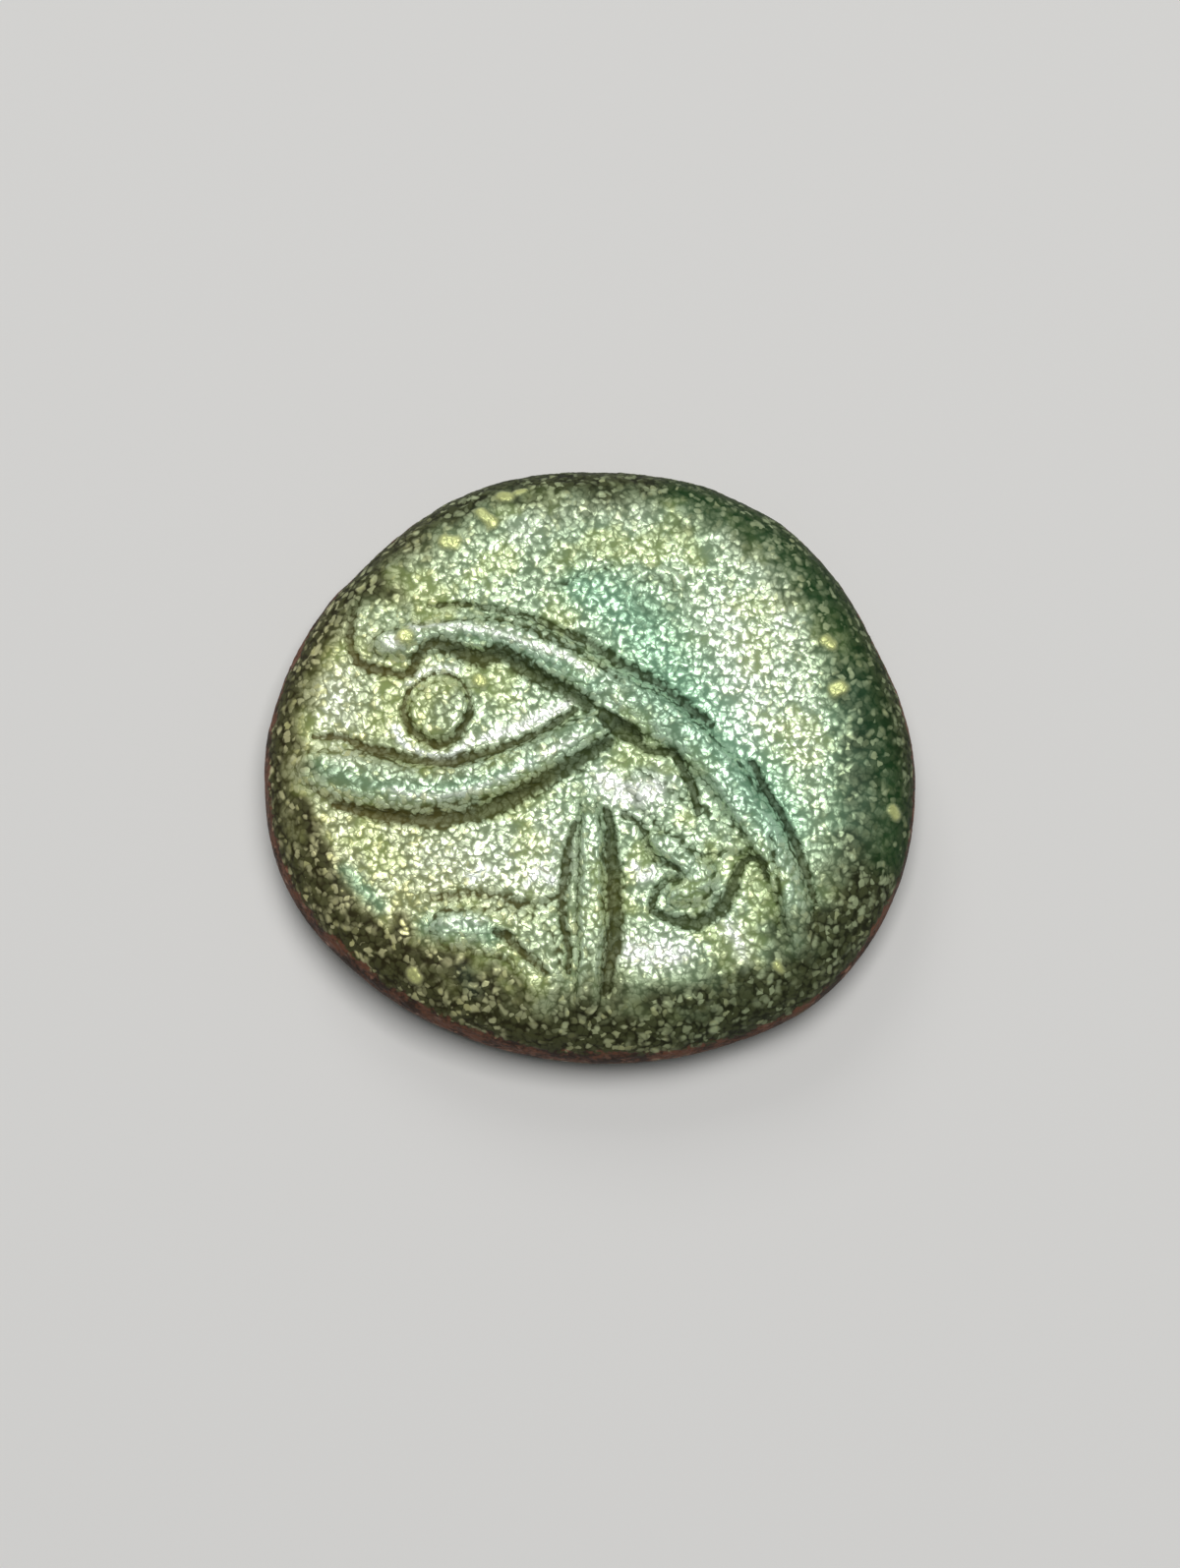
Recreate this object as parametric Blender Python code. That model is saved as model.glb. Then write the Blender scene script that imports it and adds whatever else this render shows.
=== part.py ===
# A small hammered copper coin, lying on its plain reverse with the struck face up.
# +X is the right of the struck face, +Y its top, and the origin is on the ground under the coin's middle.
import math

import bmesh
import bpy
import numpy as np

# The flan, in metres
COIN_WIDTH = 0.0170
COIN_DEPTH = 0.0156
FIELD_HEIGHT = 0.0034
FIELD_DOME = 0.00025
EDGE_HEIGHT = 0.0015
EDGE_WAVE = 0.00012
SHOULDER_WIDTH = 0.00155
SHOULDER_LEAN = 0.0004
SHOULDER_LEAN_TOWARDS = math.radians(310)
UNDERSIDE_ROUNDING = 0.0012

# What the dies left on it, in metres
DEVICE_RELIEF = 0.00036
PUNCH_SIDE = 0.0070
PUNCH_DEPTH = 0.00014
PUNCH_WALL = 0.0006
PUNCH_BAR = 0.0008
PUNCH_TURN = math.radians(12)

# How finely the solid is faceted
SIDES_PER_RING = 6
FIELD_RINGS = 31
SHOULDER_RINGS = 4
UNDERSIDE_RINGS = 4
REVERSE_RINGS = 12
SAMPLES_PER_SPAN = 10
OUTLINE_SAMPLES = 720

# The hammered outline: its radius towards sixteen points of the compass, clockwise from the top, as a
# share of half the coin's width
OUTLINE = (
    0.905, 0.928, 0.949, 0.946, 0.991, 1.011, 1.001, 0.940,
    0.906, 0.911, 0.946, 0.997, 0.992, 0.956, 0.921, 0.921,
)

# The device's strokes. Each is a line of (x, y, half width): x and half width are shares of half the
# coin's width, and y is a share of half its depth, from the coin's middle.
BROW_AND_BEAK = (
    (-0.64, 0.35, 0.073), (-0.48, 0.41, 0.055), (-0.32, 0.41, 0.070), (-0.15, 0.35, 0.079),
    (0.00, 0.27, 0.091), (0.12, 0.18, 0.097), (0.25, 0.04, 0.106), (0.37, -0.06, 0.097),
    (0.48, -0.19, 0.097), (0.55, -0.32, 0.079), (0.59, -0.44, 0.073), (0.62, -0.58, 0.067),
)
LOWER_LID = (
    (-0.85, -0.07, 0.055), (-0.69, -0.11, 0.073), (-0.51, -0.13, 0.079), (-0.33, -0.10, 0.073),
    (-0.16, -0.03, 0.067), (-0.03, 0.04, 0.061), (0.06, 0.10, 0.048),
)
PUPIL = ((-0.46, 0.15, 0.106),)
BAR = ((0.01, -0.18, 0.061), (0.00, -0.34, 0.073), (-0.01, -0.54, 0.079), (0.00, -0.79, 0.079))
COMMA = (
    (0.17, -0.22, 0.045), (0.26, -0.30, 0.073), (0.32, -0.38, 0.085),
    (0.31, -0.45, 0.079), (0.24, -0.49, 0.055),
)
CHEEK = ((0.16, -0.11, 0.070), (0.24, -0.19, 0.091), (0.35, -0.26, 0.097), (0.46, -0.30, 0.060))
THROAT = ((-0.41, -0.59, 0.091), (-0.24, -0.60, 0.103), (-0.12, -0.63, 0.103), (-0.12, -0.77, 0.091))
BELOW_LID = ((-0.76, -0.21, 0.045), (-0.51, -0.24, 0.050), (-0.30, -0.21, 0.050), (-0.05, -0.09, 0.036))
BESIDE_BAR = ((0.08, -0.23, 0.036), (0.07, -0.44, 0.040), (0.06, -0.77, 0.040))
CRESCENT = ((0.22, -0.55, 0.030), (0.32, -0.57, 0.036), (0.41, -0.52, 0.036), (0.48, -0.37, 0.030))

# With each stroke: its height or depth as a share of DEVICE_RELIEF, and how much of its half width slopes
RAISED_STROKES = (
    (BROW_AND_BEAK, 1.00, 0.80),
    (LOWER_LID, 0.95, 0.80),
    (BAR, 0.85, 0.80),
    (COMMA, 0.80, 0.80),
    (PUPIL, 0.75, 0.55),
    (THROAT, 0.40, 0.80),
    (CHEEK, 0.30, 0.80),
)
SUNK_STROKES = (
    (CRESCENT, 0.45, 0.90),
    (BESIDE_BAR, 0.40, 0.90),
    (BELOW_LID, 0.30, 0.90),
)

# The patina
PATINA_COLOUR = (0.30, 0.38, 0.27, 1.0)
PATINA_ROUGHNESS = 0.45
PATINA_METALLIC = 0.6


def clear_scene():
    """Takes out everything that the scene holds."""
    for thing in list(bpy.data.objects):
        bpy.data.objects.remove(thing)


def smooth_step(share):
    """Rises smoothly from 0 at a share of 0 to 1 at a share of 1, and is flat beyond them."""
    share = np.clip(share, 0.0, 1.0)
    return share * share * (3 - 2 * share)


def curve_between(before, start, end, after, share):
    """A smooth curve's value at a share of the way from start to end, steered by the points around."""
    return 0.5 * (
        2 * start
        + (end - before) * share
        + (2 * before - 5 * start + 4 * end - after) * share**2
        + (3 * start - before - 3 * end + after) * share**3
    )


def hammered_shape(count):
    """The outline's shape as count points (x, y), anticlockwise from +X, before it is given its size."""
    turns = np.arange(count) * math.tau / count
    clock = (math.pi / 2 - turns) / math.tau * len(OUTLINE)
    first = np.floor(clock).astype(int)
    around = [np.take(OUTLINE, first + step, mode="wrap") for step in (-1, 0, 1, 2)]
    radii = curve_between(*around, clock - first)
    return np.column_stack([radii * np.cos(turns), radii * np.sin(turns)])


def widest_line(count):
    """The coin's widest line as count points (x, y), anticlockwise from +X."""
    whole = hammered_shape(OUTLINE_SAMPLES)
    low, high = whole.min(axis=0), whole.max(axis=0)
    return (hammered_shape(count) - (low + high) / 2) / (high - low) * (COIN_WIDTH, COIN_DEPTH)


def edge_heights(outline):
    """The height of the widest line at its points, a little wavy from the hammer."""
    turns = np.arctan2(outline[:, 1], outline[:, 0])
    return EDGE_HEIGHT + EDGE_WAVE * (np.sin(2 * turns + 1) + 0.5 * np.sin(5 * turns))


def stroke_samples(stroke):
    """Rows of x, y and half width, in metres, along the smooth curve through a stroke's points."""
    points = np.array(stroke) * (COIN_WIDTH / 2, COIN_DEPTH / 2, COIN_WIDTH / 2)
    ends = np.vstack([points[0], points, points[-1]])
    rows = [points[-1]]
    for before, start, end, after in zip(ends, ends[1:], ends[2:], ends[3:], strict=False):
        for step in range(SAMPLES_PER_SPAN):
            rows.append(curve_between(before, start, end, after, step / SAMPLES_PER_SPAN))
    return rows


def stroke_profile(places, stroke, slope):
    """1 on a stroke's flat top, 0 outside it, and between them on its sloping side."""
    reach = np.full(len(places), np.inf)
    for x, y, half_width in stroke_samples(stroke):
        reach = np.minimum(reach, np.hypot(places[:, 0] - x, places[:, 1] - y) / half_width)
    return smooth_step((1 - reach) / slope)


def strokes_together(places, strokes):
    """The most that any of the strokes reaches at each place."""
    return np.max([share * stroke_profile(places, line, slope) for line, share, slope in strokes], axis=0)


def device_height(places):
    """What the struck device adds to the field at each place (x, y)."""
    raised = strokes_together(places, RAISED_STROKES)
    sunk = strokes_together(places, SUNK_STROKES)
    return DEVICE_RELIEF * (raised - sunk)


def punch_depth(places):
    """How far the reverse's worn square punch is sunk at each place, with its two crossing bars."""
    along = places @ (math.cos(PUNCH_TURN), math.sin(PUNCH_TURN))
    across = places @ (-math.sin(PUNCH_TURN), math.cos(PUNCH_TURN))
    squareness = 6
    reach = (np.abs(along) ** squareness + np.abs(across) ** squareness) ** (1 / squareness)
    inside = smooth_step((PUNCH_SIDE / 2 - reach) / PUNCH_WALL)
    off_bars = smooth_step(np.minimum(np.abs(along), np.abs(across)) / PUNCH_BAR)
    worn_bar = 0.3
    return PUNCH_DEPTH * inside * (worn_bar + (1 - worn_bar) * off_bars)


def struck_face_ring(sides, field_share, turned):
    """A ring of the struck face, a share of the way from its middle to its shoulder. Past the shoulder it
    is turned over the edge, by a quarter turn at the widest line."""
    outline = widest_line(sides)
    radii = np.hypot(outline[:, 0], outline[:, 1])
    turns = np.arctan2(outline[:, 1], outline[:, 0])
    shoulder = 1 - (SHOULDER_WIDTH + SHOULDER_LEAN * np.cos(turns - SHOULDER_LEAN_TOWARDS)) / radii
    share = shoulder * field_share + (1 - shoulder) * math.sin(turned)
    places = outline * share[:, None]
    edge = edge_heights(outline)
    struck = FIELD_HEIGHT - FIELD_DOME * field_share**2 + device_height(places)
    return np.column_stack([places, edge + (struck - edge) * math.cos(turned)])


def underside_ring(sides, turned):
    """A ring round the lower edge, from the widest line to the underside, a quarter turn on."""
    outline = widest_line(sides)
    radii = np.hypot(outline[:, 0], outline[:, 1])
    share = 1 - UNDERSIDE_ROUNDING / radii * (1 - math.cos(turned))
    return np.column_stack([outline * share[:, None], edge_heights(outline) * (1 - math.sin(turned))])


def reverse_ring(sides, share):
    """A ring of the flat reverse, a share of the way from its middle to its rim."""
    outline = widest_line(sides)
    radii = np.hypot(outline[:, 0], outline[:, 1])
    places = outline * (share * (1 - UNDERSIDE_ROUNDING / radii))[:, None]
    return np.column_stack([places, punch_depth(places)])


def coin_rings():
    """The coin's skin in rings, from the middle of the struck face out over the edge and back in to the
    middle of the reverse. The first ring and the last are one point."""
    full = FIELD_RINGS * SIDES_PER_RING
    quarter = math.pi / 2
    for ring in range(FIELD_RINGS):
        yield struck_face_ring(max(1, ring * SIDES_PER_RING), ring / FIELD_RINGS, 0.0)
    for ring in range(SHOULDER_RINGS):
        yield struck_face_ring(full, 1.0, quarter * ring / SHOULDER_RINGS)
    for ring in range(UNDERSIDE_RINGS):
        yield underside_ring(full - ring * full // (2 * UNDERSIDE_RINGS), quarter * ring / UNDERSIDE_RINGS)
    for ring in range(REVERSE_RINGS, -1, -1):
        yield reverse_ring(max(1, ring * SIDES_PER_RING), ring / REVERSE_RINGS)


def steps_round(corners, name):
    """Each step along a ring, as its share of the whole turn and the ring's name. One point has none."""
    count = len(corners) if len(corners) > 1 else 0
    return [((step + 0.5) / count, name) for step in range(count)]


def fill_between(mesh, near, far):
    """Fills the band between two rings with triangles, stepping on along whichever ring is behind."""
    i, j = 0, 0
    for _, name in sorted(steps_round(near, "near") + steps_round(far, "far")):
        corners = [near[i % len(near)], far[j % len(far)]]
        if name == "near":
            i += 1
            corners.append(near[i % len(near)])
        else:
            j += 1
            corners.append(far[j % len(far)])
        mesh.faces.new(corners)


def make_patina():
    """The green patina on the copper."""
    material = bpy.data.materials.new("green_patina")
    material.use_nodes = True
    shader = material.node_tree.nodes["Principled BSDF"]
    shader.inputs["Base Color"].default_value = PATINA_COLOUR
    shader.inputs["Roughness"].default_value = PATINA_ROUGHNESS
    shader.inputs["Metallic"].default_value = PATINA_METALLIC
    return material


def make_coin():
    """The whole coin as one closed solid."""
    mesh = bmesh.new()
    rings = [[mesh.verts.new(point) for point in ring] for ring in coin_rings()]
    for near, far in zip(rings, rings[1:], strict=False):
        fill_between(mesh, near, far)
    skin = bpy.data.meshes.new("coin")
    mesh.to_mesh(skin)
    mesh.free()
    skin.shade_smooth()
    skin.materials.append(make_patina())
    coin = bpy.data.objects.new("coin", skin)
    bpy.context.scene.collection.objects.link(coin)
    return coin


clear_scene()
make_coin()
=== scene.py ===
# %% [markdown]
# A small hammered copper coin
#
# A blank of soft copper, the flan, was laid on one die and struck with the other, and then it lay in the
# ground until it turned green. This lesson makes it in nearly that order: the smooth flan, the device that
# the die raised on it, with a few crumbs of crust, then the grain that the ground ate into it, and last of
# all its colours. The solid model gives its place and size, so that is loaded first and never changed.

# %% Open the frame
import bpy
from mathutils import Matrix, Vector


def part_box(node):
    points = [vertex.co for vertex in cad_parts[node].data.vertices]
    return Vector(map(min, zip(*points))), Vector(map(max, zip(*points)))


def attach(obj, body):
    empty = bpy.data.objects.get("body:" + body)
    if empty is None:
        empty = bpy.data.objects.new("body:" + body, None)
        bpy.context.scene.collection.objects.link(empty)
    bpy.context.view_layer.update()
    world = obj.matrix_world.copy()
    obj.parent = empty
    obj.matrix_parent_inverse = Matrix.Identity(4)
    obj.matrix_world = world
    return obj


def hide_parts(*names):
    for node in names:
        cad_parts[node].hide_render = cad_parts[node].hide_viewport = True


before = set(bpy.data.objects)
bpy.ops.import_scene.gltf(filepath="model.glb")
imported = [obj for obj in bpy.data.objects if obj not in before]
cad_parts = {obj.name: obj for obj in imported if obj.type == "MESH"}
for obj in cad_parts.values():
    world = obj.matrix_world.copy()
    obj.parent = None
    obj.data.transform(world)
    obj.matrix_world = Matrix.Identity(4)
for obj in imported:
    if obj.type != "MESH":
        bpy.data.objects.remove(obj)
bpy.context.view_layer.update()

# %% The coin's real size
import math

import bpy
import numpy as np
from mathutils import Vector

coin_low, coin_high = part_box("coin")
half_width = (coin_high[0] - coin_low[0]) / 2
half_depth = (coin_high[1] - coin_low[1]) / 2
print(f"the coin is {2000 * half_width:.1f} mm wide and {2000 * half_depth:.1f} mm deep")

# %% [markdown]
# Sums instead of noodles
#
# Both the shapes and the colours below are node trees. Wiring them by hand takes three lines for each sum,
# so one small class wraps a node's output and adds a Math node whenever Python adds or multiplies it.
# Every other kind of node comes from its one method, which takes the node's settings and its inputs.

# %% A wire that understands arithmetic
class Wire:
    """One output of a node. Sums with it add Math nodes to its tree."""

    def __init__(self, socket):
        self.socket = socket

    def node(self, kind, settings=None, inputs=(), output=None):
        """Adds a node to this wire's tree. Its inputs are a dict of names, or a list for its open sockets."""
        tree = self.socket.id_data
        made = tree.nodes.new(kind)
        for name, value in (settings or {}).items():
            setattr(made, name, value)
        open_sockets = [socket for socket in made.inputs if socket.enabled]
        named = inputs.items() if isinstance(inputs, dict) else enumerate(inputs)
        for key, value in named:
            socket = open_sockets[key] if isinstance(key, int) else made.inputs[key]
            if isinstance(value, Wire):
                tree.links.new(value.socket, socket)
            elif value is not None:
                socket.default_value = value
        outputs = [socket for socket in made.outputs if socket.enabled]
        return Wire(made.outputs[output] if output else outputs[0])

    def beside(self, name):
        """Another output of the same node."""
        return Wire(self.socket.node.outputs[name])

    def maths(self, operation, *values):
        """What a Math node makes of the values."""
        return self.node("ShaderNodeMath", {"operation": operation}, values)

    def vectors(self, operation, *values):
        """What a Vector Math node makes of the values."""
        return self.node("ShaderNodeVectorMath", {"operation": operation}, values)

    def __add__(self, other):
        return self.maths("ADD", self, other)

    def __sub__(self, other):
        return self.maths("SUBTRACT", self, other)

    def __rsub__(self, other):
        return self.maths("SUBTRACT", other, self)

    def __mul__(self, other):
        return self.maths("MULTIPLY", self, other)

    def __abs__(self):
        return self.maths("ABSOLUTE", self)

    __radd__ = __add__
    __rmul__ = __mul__


def rise(value, start, end, low=0.0, high=1.0):
    """Smoothly from low to high while the value goes from start to end."""
    smoothly = {"interpolation_type": "SMOOTHSTEP"}
    return value.node("ShaderNodeMapRange", smoothly, [value, start, end, low, high])


def highest(values, blend=0.0):
    """The greatest of several values, which run smoothly into one another over the blend."""
    most = values[0]
    for value in values[1:]:
        if blend:
            most = most.maths("SMOOTH_MAX", most, value, blend)
        else:
            most = most.maths("MAXIMUM", most, value)
    return most


print("sums on a wire add nodes")

# %% [markdown]
# The camera
#
# The photograph looks down on the lying coin, a little from its lower edge, because a band of bare copper
# shows along the bottom rim and only a thread of it along the top. A long lens keeps the outline true.
# Its distance follows from how many pixels wide the coin is.

# %% Set up the camera
PHOTO_HEIGHT = 1595
COIN_LEFT, COIN_RIGHT = 269, 930
COIN_ABOVE_MIDDLE = 19
SENSOR = 36.0
LENS = 100.0
ELEVATION = math.radians(81)
EDGE_HEIGHT = 0.0015

pixel = 2 * half_width / (COIN_RIGHT - COIN_LEFT)
distance = LENS / SENSOR * PHOTO_HEIGHT * pixel
towards_camera = Vector((0, -math.cos(ELEVATION), math.sin(ELEVATION)))
up_in_picture = Vector((0, math.sin(ELEVATION), math.cos(ELEVATION)))
aim = Vector((0, 0, EDGE_HEIGHT)) - up_in_picture * COIN_ABOVE_MIDDLE * pixel

lens = bpy.data.cameras.new("camera")
lens.lens = LENS
lens.sensor_width = SENSOR
lens.clip_start = 0.01
camera = bpy.data.objects.new("camera", lens)
camera.location = aim + towards_camera * distance
camera.rotation_euler = towards_camera.to_track_quat("Z", "Y").to_euler()
bpy.context.scene.collection.objects.link(camera)
bpy.context.scene.camera = camera
print(f"the camera is {1000 * distance:.0f} mm from the coin")

# %% [markdown]
# Light and floor
#
# Struck relief is read from its slopes. A soft box close beside the lens mirrors in whatever lies flat, so
# the flats shine and every slope turns dark, which draws the device in outline. A weaker box shines from
# beyond the top of the picture, and the room is dim, so that the slopes have little to mirror.

# %% Put up the soft boxes and the floor
def soft_box(name, direction, reach, size, power):
    """A square lamp that shines on the coin from a direction, reach metres away."""
    lamp = bpy.data.lights.new(name, "AREA")
    lamp.size = size
    lamp.energy = power
    box = bpy.data.objects.new(name, lamp)
    box.location = Vector(direction).normalized() * reach
    box.rotation_euler = Vector(direction).to_track_quat("Z", "Y").to_euler()
    bpy.context.scene.collection.objects.link(box)


soft_box("overhead_box", direction=(0.06, 0.13, 1.0), reach=0.40, size=0.20, power=1.15)
soft_box("back_box", direction=(-0.35, 1.0, 0.9), reach=0.60, size=0.25, power=0.60)

ROOM_COLOUR = (0.9, 0.95, 1.0, 1.0)
ROOM_STRENGTH = 0.10
room = bpy.data.worlds.new("dim_room")
room.use_nodes = True
backdrop = room.node_tree.nodes["Background"]
backdrop.inputs["Color"].default_value = ROOM_COLOUR
backdrop.inputs["Strength"].default_value = ROOM_STRENGTH
bpy.context.scene.world = room
bpy.context.scene.view_settings.view_transform = "Standard"

FLOOR_SIDE = 1.2
FLOOR_COLOUR = (0.74, 0.73, 0.71, 1.0)
FLOOR_ROUGHNESS = 0.9
paper = bpy.data.materials.new("pale_floor")
paper.use_nodes = True
paper_shader = paper.node_tree.nodes["Principled BSDF"]
paper_shader.inputs["Base Color"].default_value = FLOOR_COLOUR
paper_shader.inputs["Roughness"].default_value = FLOOR_ROUGHNESS
corner = FLOOR_SIDE / 2
floor_corners = [(-corner, -corner, 0), (corner, -corner, 0), (corner, corner, 0), (-corner, corner, 0)]
floor_mesh = bpy.data.meshes.new("floor")
floor_mesh.from_pydata(floor_corners, [], [(0, 1, 2, 3)])
floor_mesh.materials.append(paper)
floor = bpy.data.objects.new("floor", floor_mesh)
bpy.context.scene.collection.objects.link(floor)
print("two soft boxes, a dim room and a pale floor")

# %% [markdown]
# The hammered outline
#
# A flan was cut or cast roughly and hammered, so its outline is neither a circle nor an oval. Sixteen radii,
# one for each point of the compass, joined by a smooth curve, hold it to a tenth of a millimetre.

# %% Draw the widest line of the flan
OUTLINE = (
    0.905, 0.928, 0.949, 0.946, 0.991, 1.011, 1.001, 0.940,
    0.906, 0.911, 0.946, 0.997, 0.992, 0.956, 0.921, 0.921,
)
OUTLINE_SAMPLES = 720


def curve_between(before, start, end, after, share):
    """A smooth curve's value at a share of the way from start to end, steered by the points around."""
    return 0.5 * (
        2 * start
        + (end - before) * share
        + (2 * before - 5 * start + 4 * end - after) * share**2
        + (3 * start - before - 3 * end + after) * share**3
    )


def hammered_shape(count):
    """The outline's shape as count points (x, y), anticlockwise from +X, before it is given its size."""
    turns = np.arange(count) * math.tau / count
    clock = (math.pi / 2 - turns) / math.tau * len(OUTLINE)
    first = np.floor(clock).astype(int)
    around = [np.take(OUTLINE, first + step, mode="wrap") for step in (-1, 0, 1, 2)]
    radii = curve_between(*around, clock - first)
    return np.column_stack([radii * np.cos(turns), radii * np.sin(turns)])


def widest_line(count):
    """The coin's widest line as count points (x, y), anticlockwise from +X."""
    whole = hammered_shape(OUTLINE_SAMPLES)
    low, high = whole.min(axis=0), whole.max(axis=0)
    return (hammered_shape(count) - (low + high) / 2) / (high - low) * (2 * half_width, 2 * half_depth)


print(f"the outline is drawn from {len(OUTLINE)} radii")

# %% [markdown]
# The flan
#
# The body could be a squashed cylinder, but the relief needs even, small triangles from its middle to its
# rim. So the skin is knitted in rings: each ring has six more corners than the one inside it, which keeps
# all the triangles nearly alike, without a pole. Past the shoulder the rings turn down over the edge and
# run back underneath to a flat, which carries the worn square of the lower die.

# %% Sizes of the flan
FIELD_HEIGHT = 0.0034
FIELD_DOME = 0.00025
EDGE_WAVE = 0.00012
SHOULDER_WIDTH = 0.00155
SHOULDER_LEAN = 0.00040
SHOULDER_LEAN_TOWARDS = math.radians(310)
UNDERSIDE_ROUNDING = 0.0012
PUNCH_SIDE = 0.0070
PUNCH_DEPTH = 0.00014
PUNCH_WALL = 0.0006
PUNCH_BAR = 0.0008
PUNCH_TURN = math.radians(12)
FIELD_RINGS = 128
SHOULDER_RINGS = 30
UNDERSIDE_RINGS = 12
REVERSE_RINGS = 52
SIDES_PER_RING = 6
print(f"the field lies {1000 * FIELD_HEIGHT:.1f} mm up, and the punch is {1000 * PUNCH_DEPTH:.2f} mm deep")


# %% One ring of the skin
def smooth_step(share):
    """Rises smoothly from 0 at a share of 0 to 1 at a share of 1, and is flat beyond them."""
    share = np.clip(share, 0.0, 1.0)
    return share * share * (3 - 2 * share)


def edge_heights(outline):
    """The height of the widest line at its points, a little wavy from the hammer."""
    turns = np.arctan2(outline[:, 1], outline[:, 0])
    return EDGE_HEIGHT + EDGE_WAVE * (np.sin(2 * turns + 1) + 0.5 * np.sin(5 * turns))


def punch_depth(places):
    """How far the reverse's worn square punch is sunk at each place, with its two crossing bars."""
    along = places @ (math.cos(PUNCH_TURN), math.sin(PUNCH_TURN))
    across = places @ (-math.sin(PUNCH_TURN), math.cos(PUNCH_TURN))
    squareness = 6
    reach = (np.abs(along) ** squareness + np.abs(across) ** squareness) ** (1 / squareness)
    inside = smooth_step((PUNCH_SIDE / 2 - reach) / PUNCH_WALL)
    off_bars = smooth_step(np.minimum(np.abs(along), np.abs(across)) / PUNCH_BAR)
    worn_bar = 0.3
    return PUNCH_DEPTH * inside * (worn_bar + (1 - worn_bar) * off_bars)


def struck_face_ring(sides, field_share, turned):
    """A ring of the struck face, turned over the edge past the shoulder, by a quarter turn at most."""
    outline = widest_line(sides)
    radii = np.hypot(outline[:, 0], outline[:, 1])
    turns = np.arctan2(outline[:, 1], outline[:, 0])
    shoulder = 1 - (SHOULDER_WIDTH + SHOULDER_LEAN * np.cos(turns - SHOULDER_LEAN_TOWARDS)) / radii
    share = shoulder * field_share + (1 - shoulder) * math.sin(turned)
    edge = edge_heights(outline)
    smooth = FIELD_HEIGHT - FIELD_DOME * field_share**2
    return np.column_stack([outline * share[:, None], edge + (smooth - edge) * math.cos(turned)])


def underside_ring(sides, turned):
    """A ring round the lower edge, from the widest line to the underside, a quarter turn on."""
    outline = widest_line(sides)
    radii = np.hypot(outline[:, 0], outline[:, 1])
    share = 1 - UNDERSIDE_ROUNDING / radii * (1 - math.cos(turned))
    return np.column_stack([outline * share[:, None], edge_heights(outline) * (1 - math.sin(turned))])


def reverse_ring(sides, share):
    """A ring of the flat reverse, a share of the way from its middle to its rim."""
    outline = widest_line(sides)
    radii = np.hypot(outline[:, 0], outline[:, 1])
    places = outline * (share * (1 - UNDERSIDE_ROUNDING / radii))[:, None]
    return np.column_stack([places, punch_depth(places)])


print(f"the widest line lies {1000 * edge_heights(widest_line(OUTLINE_SAMPLES)).mean():.2f} mm up")

# %% All the rings, and how far round the edge each one lies
def flan_rings():
    """Each ring with its fall: -3 in the middle, 0 on the shoulder, 1 at the widest line, 2 beneath."""
    full = FIELD_RINGS * SIDES_PER_RING
    quarter = math.pi / 2
    for ring in range(FIELD_RINGS):
        share = ring / FIELD_RINGS
        yield struck_face_ring(max(1, ring * SIDES_PER_RING), share, 0.0), 3 * (share - 1)
    for ring in range(SHOULDER_RINGS):
        turned = ring / SHOULDER_RINGS
        yield struck_face_ring(full, 1.0, quarter * turned), turned
    for ring in range(UNDERSIDE_RINGS):
        turned = ring / UNDERSIDE_RINGS
        sides = full - round((full - REVERSE_RINGS * SIDES_PER_RING) * turned)
        yield underside_ring(sides, quarter * turned), 1.0 + turned
    for ring in range(REVERSE_RINGS, -1, -1):
        yield reverse_ring(max(1, ring * SIDES_PER_RING), ring / REVERSE_RINGS), 2.0


rings, falls = zip(*flan_rings())
starts = np.cumsum([0] + [len(ring) for ring in rings])
print(f"{len(rings)} rings with {starts[-1]} corners")

# %% [markdown]
# Knitting the rings
#
# Two neighbouring rings have different numbers of corners, so a bridge of squares doesn't fit between them.
# A triangle is added on whichever ring is behind, as when a seam is eased into a longer edge. The same
# loop notes for each triangle whether it belongs to the upper skin or to the lower one, for the layout of
# the finish further on.

# %% Knit the flan's skin
def steps_round(count, name):
    """Each step along a ring, as its share of the whole turn and the ring's name. One corner has none."""
    return [((step + 0.5) / count, name) for step in range(count if count > 1 else 0)]


def knit(near_start, near_count, far_start, far_count):
    """The triangles between two rings of corners."""
    triangles = []
    i, j = 0, 0
    for _, name in sorted(steps_round(near_count, "near") + steps_round(far_count, "far")):
        near, far = near_start + i % near_count, far_start + j % far_count
        if name == "near":
            i += 1
            triangles.append((near, far, near_start + i % near_count))
        else:
            j += 1
            triangles.append((near, far, far_start + j % far_count))
    return triangles


widest_ring = FIELD_RINGS + SHOULDER_RINGS
triangles, upper_count = [], 0
for number in range(len(rings) - 1):
    triangles += knit(starts[number], len(rings[number]), starts[number + 1], len(rings[number + 1]))
    if number < widest_ring:
        upper_count = len(triangles)

flan_mesh = bpy.data.meshes.new("struck_coin")
flan_mesh.from_pydata(np.vstack(rings).tolist(), [], [tuple(map(int, corners)) for corners in triangles])
flan_mesh.shade_smooth()
fall_of_corners = np.repeat(falls, [len(ring) for ring in rings]).astype(np.float32)
flan_mesh.attributes.new("fall", "FLOAT", "POINT").data.foreach_set("value", fall_of_corners)
coin = bpy.data.objects.new("struck_coin", flan_mesh)
bpy.context.scene.collection.objects.link(coin)
print(f"the flan has {len(triangles)} triangles")

# %% [markdown]
# A flat layout for the finish
#
# When the finish is baked into a picture, the skin has to be laid out flat. It comes apart along the
# widest line into two discs, and because the struck face matters more, its disc is the larger one.

# %% Lay the two discs out
STRUCK_DISC = (0.37, 0.63, 0.36)
REVERSE_DISC = (0.765, 0.235, 0.22)


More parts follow.
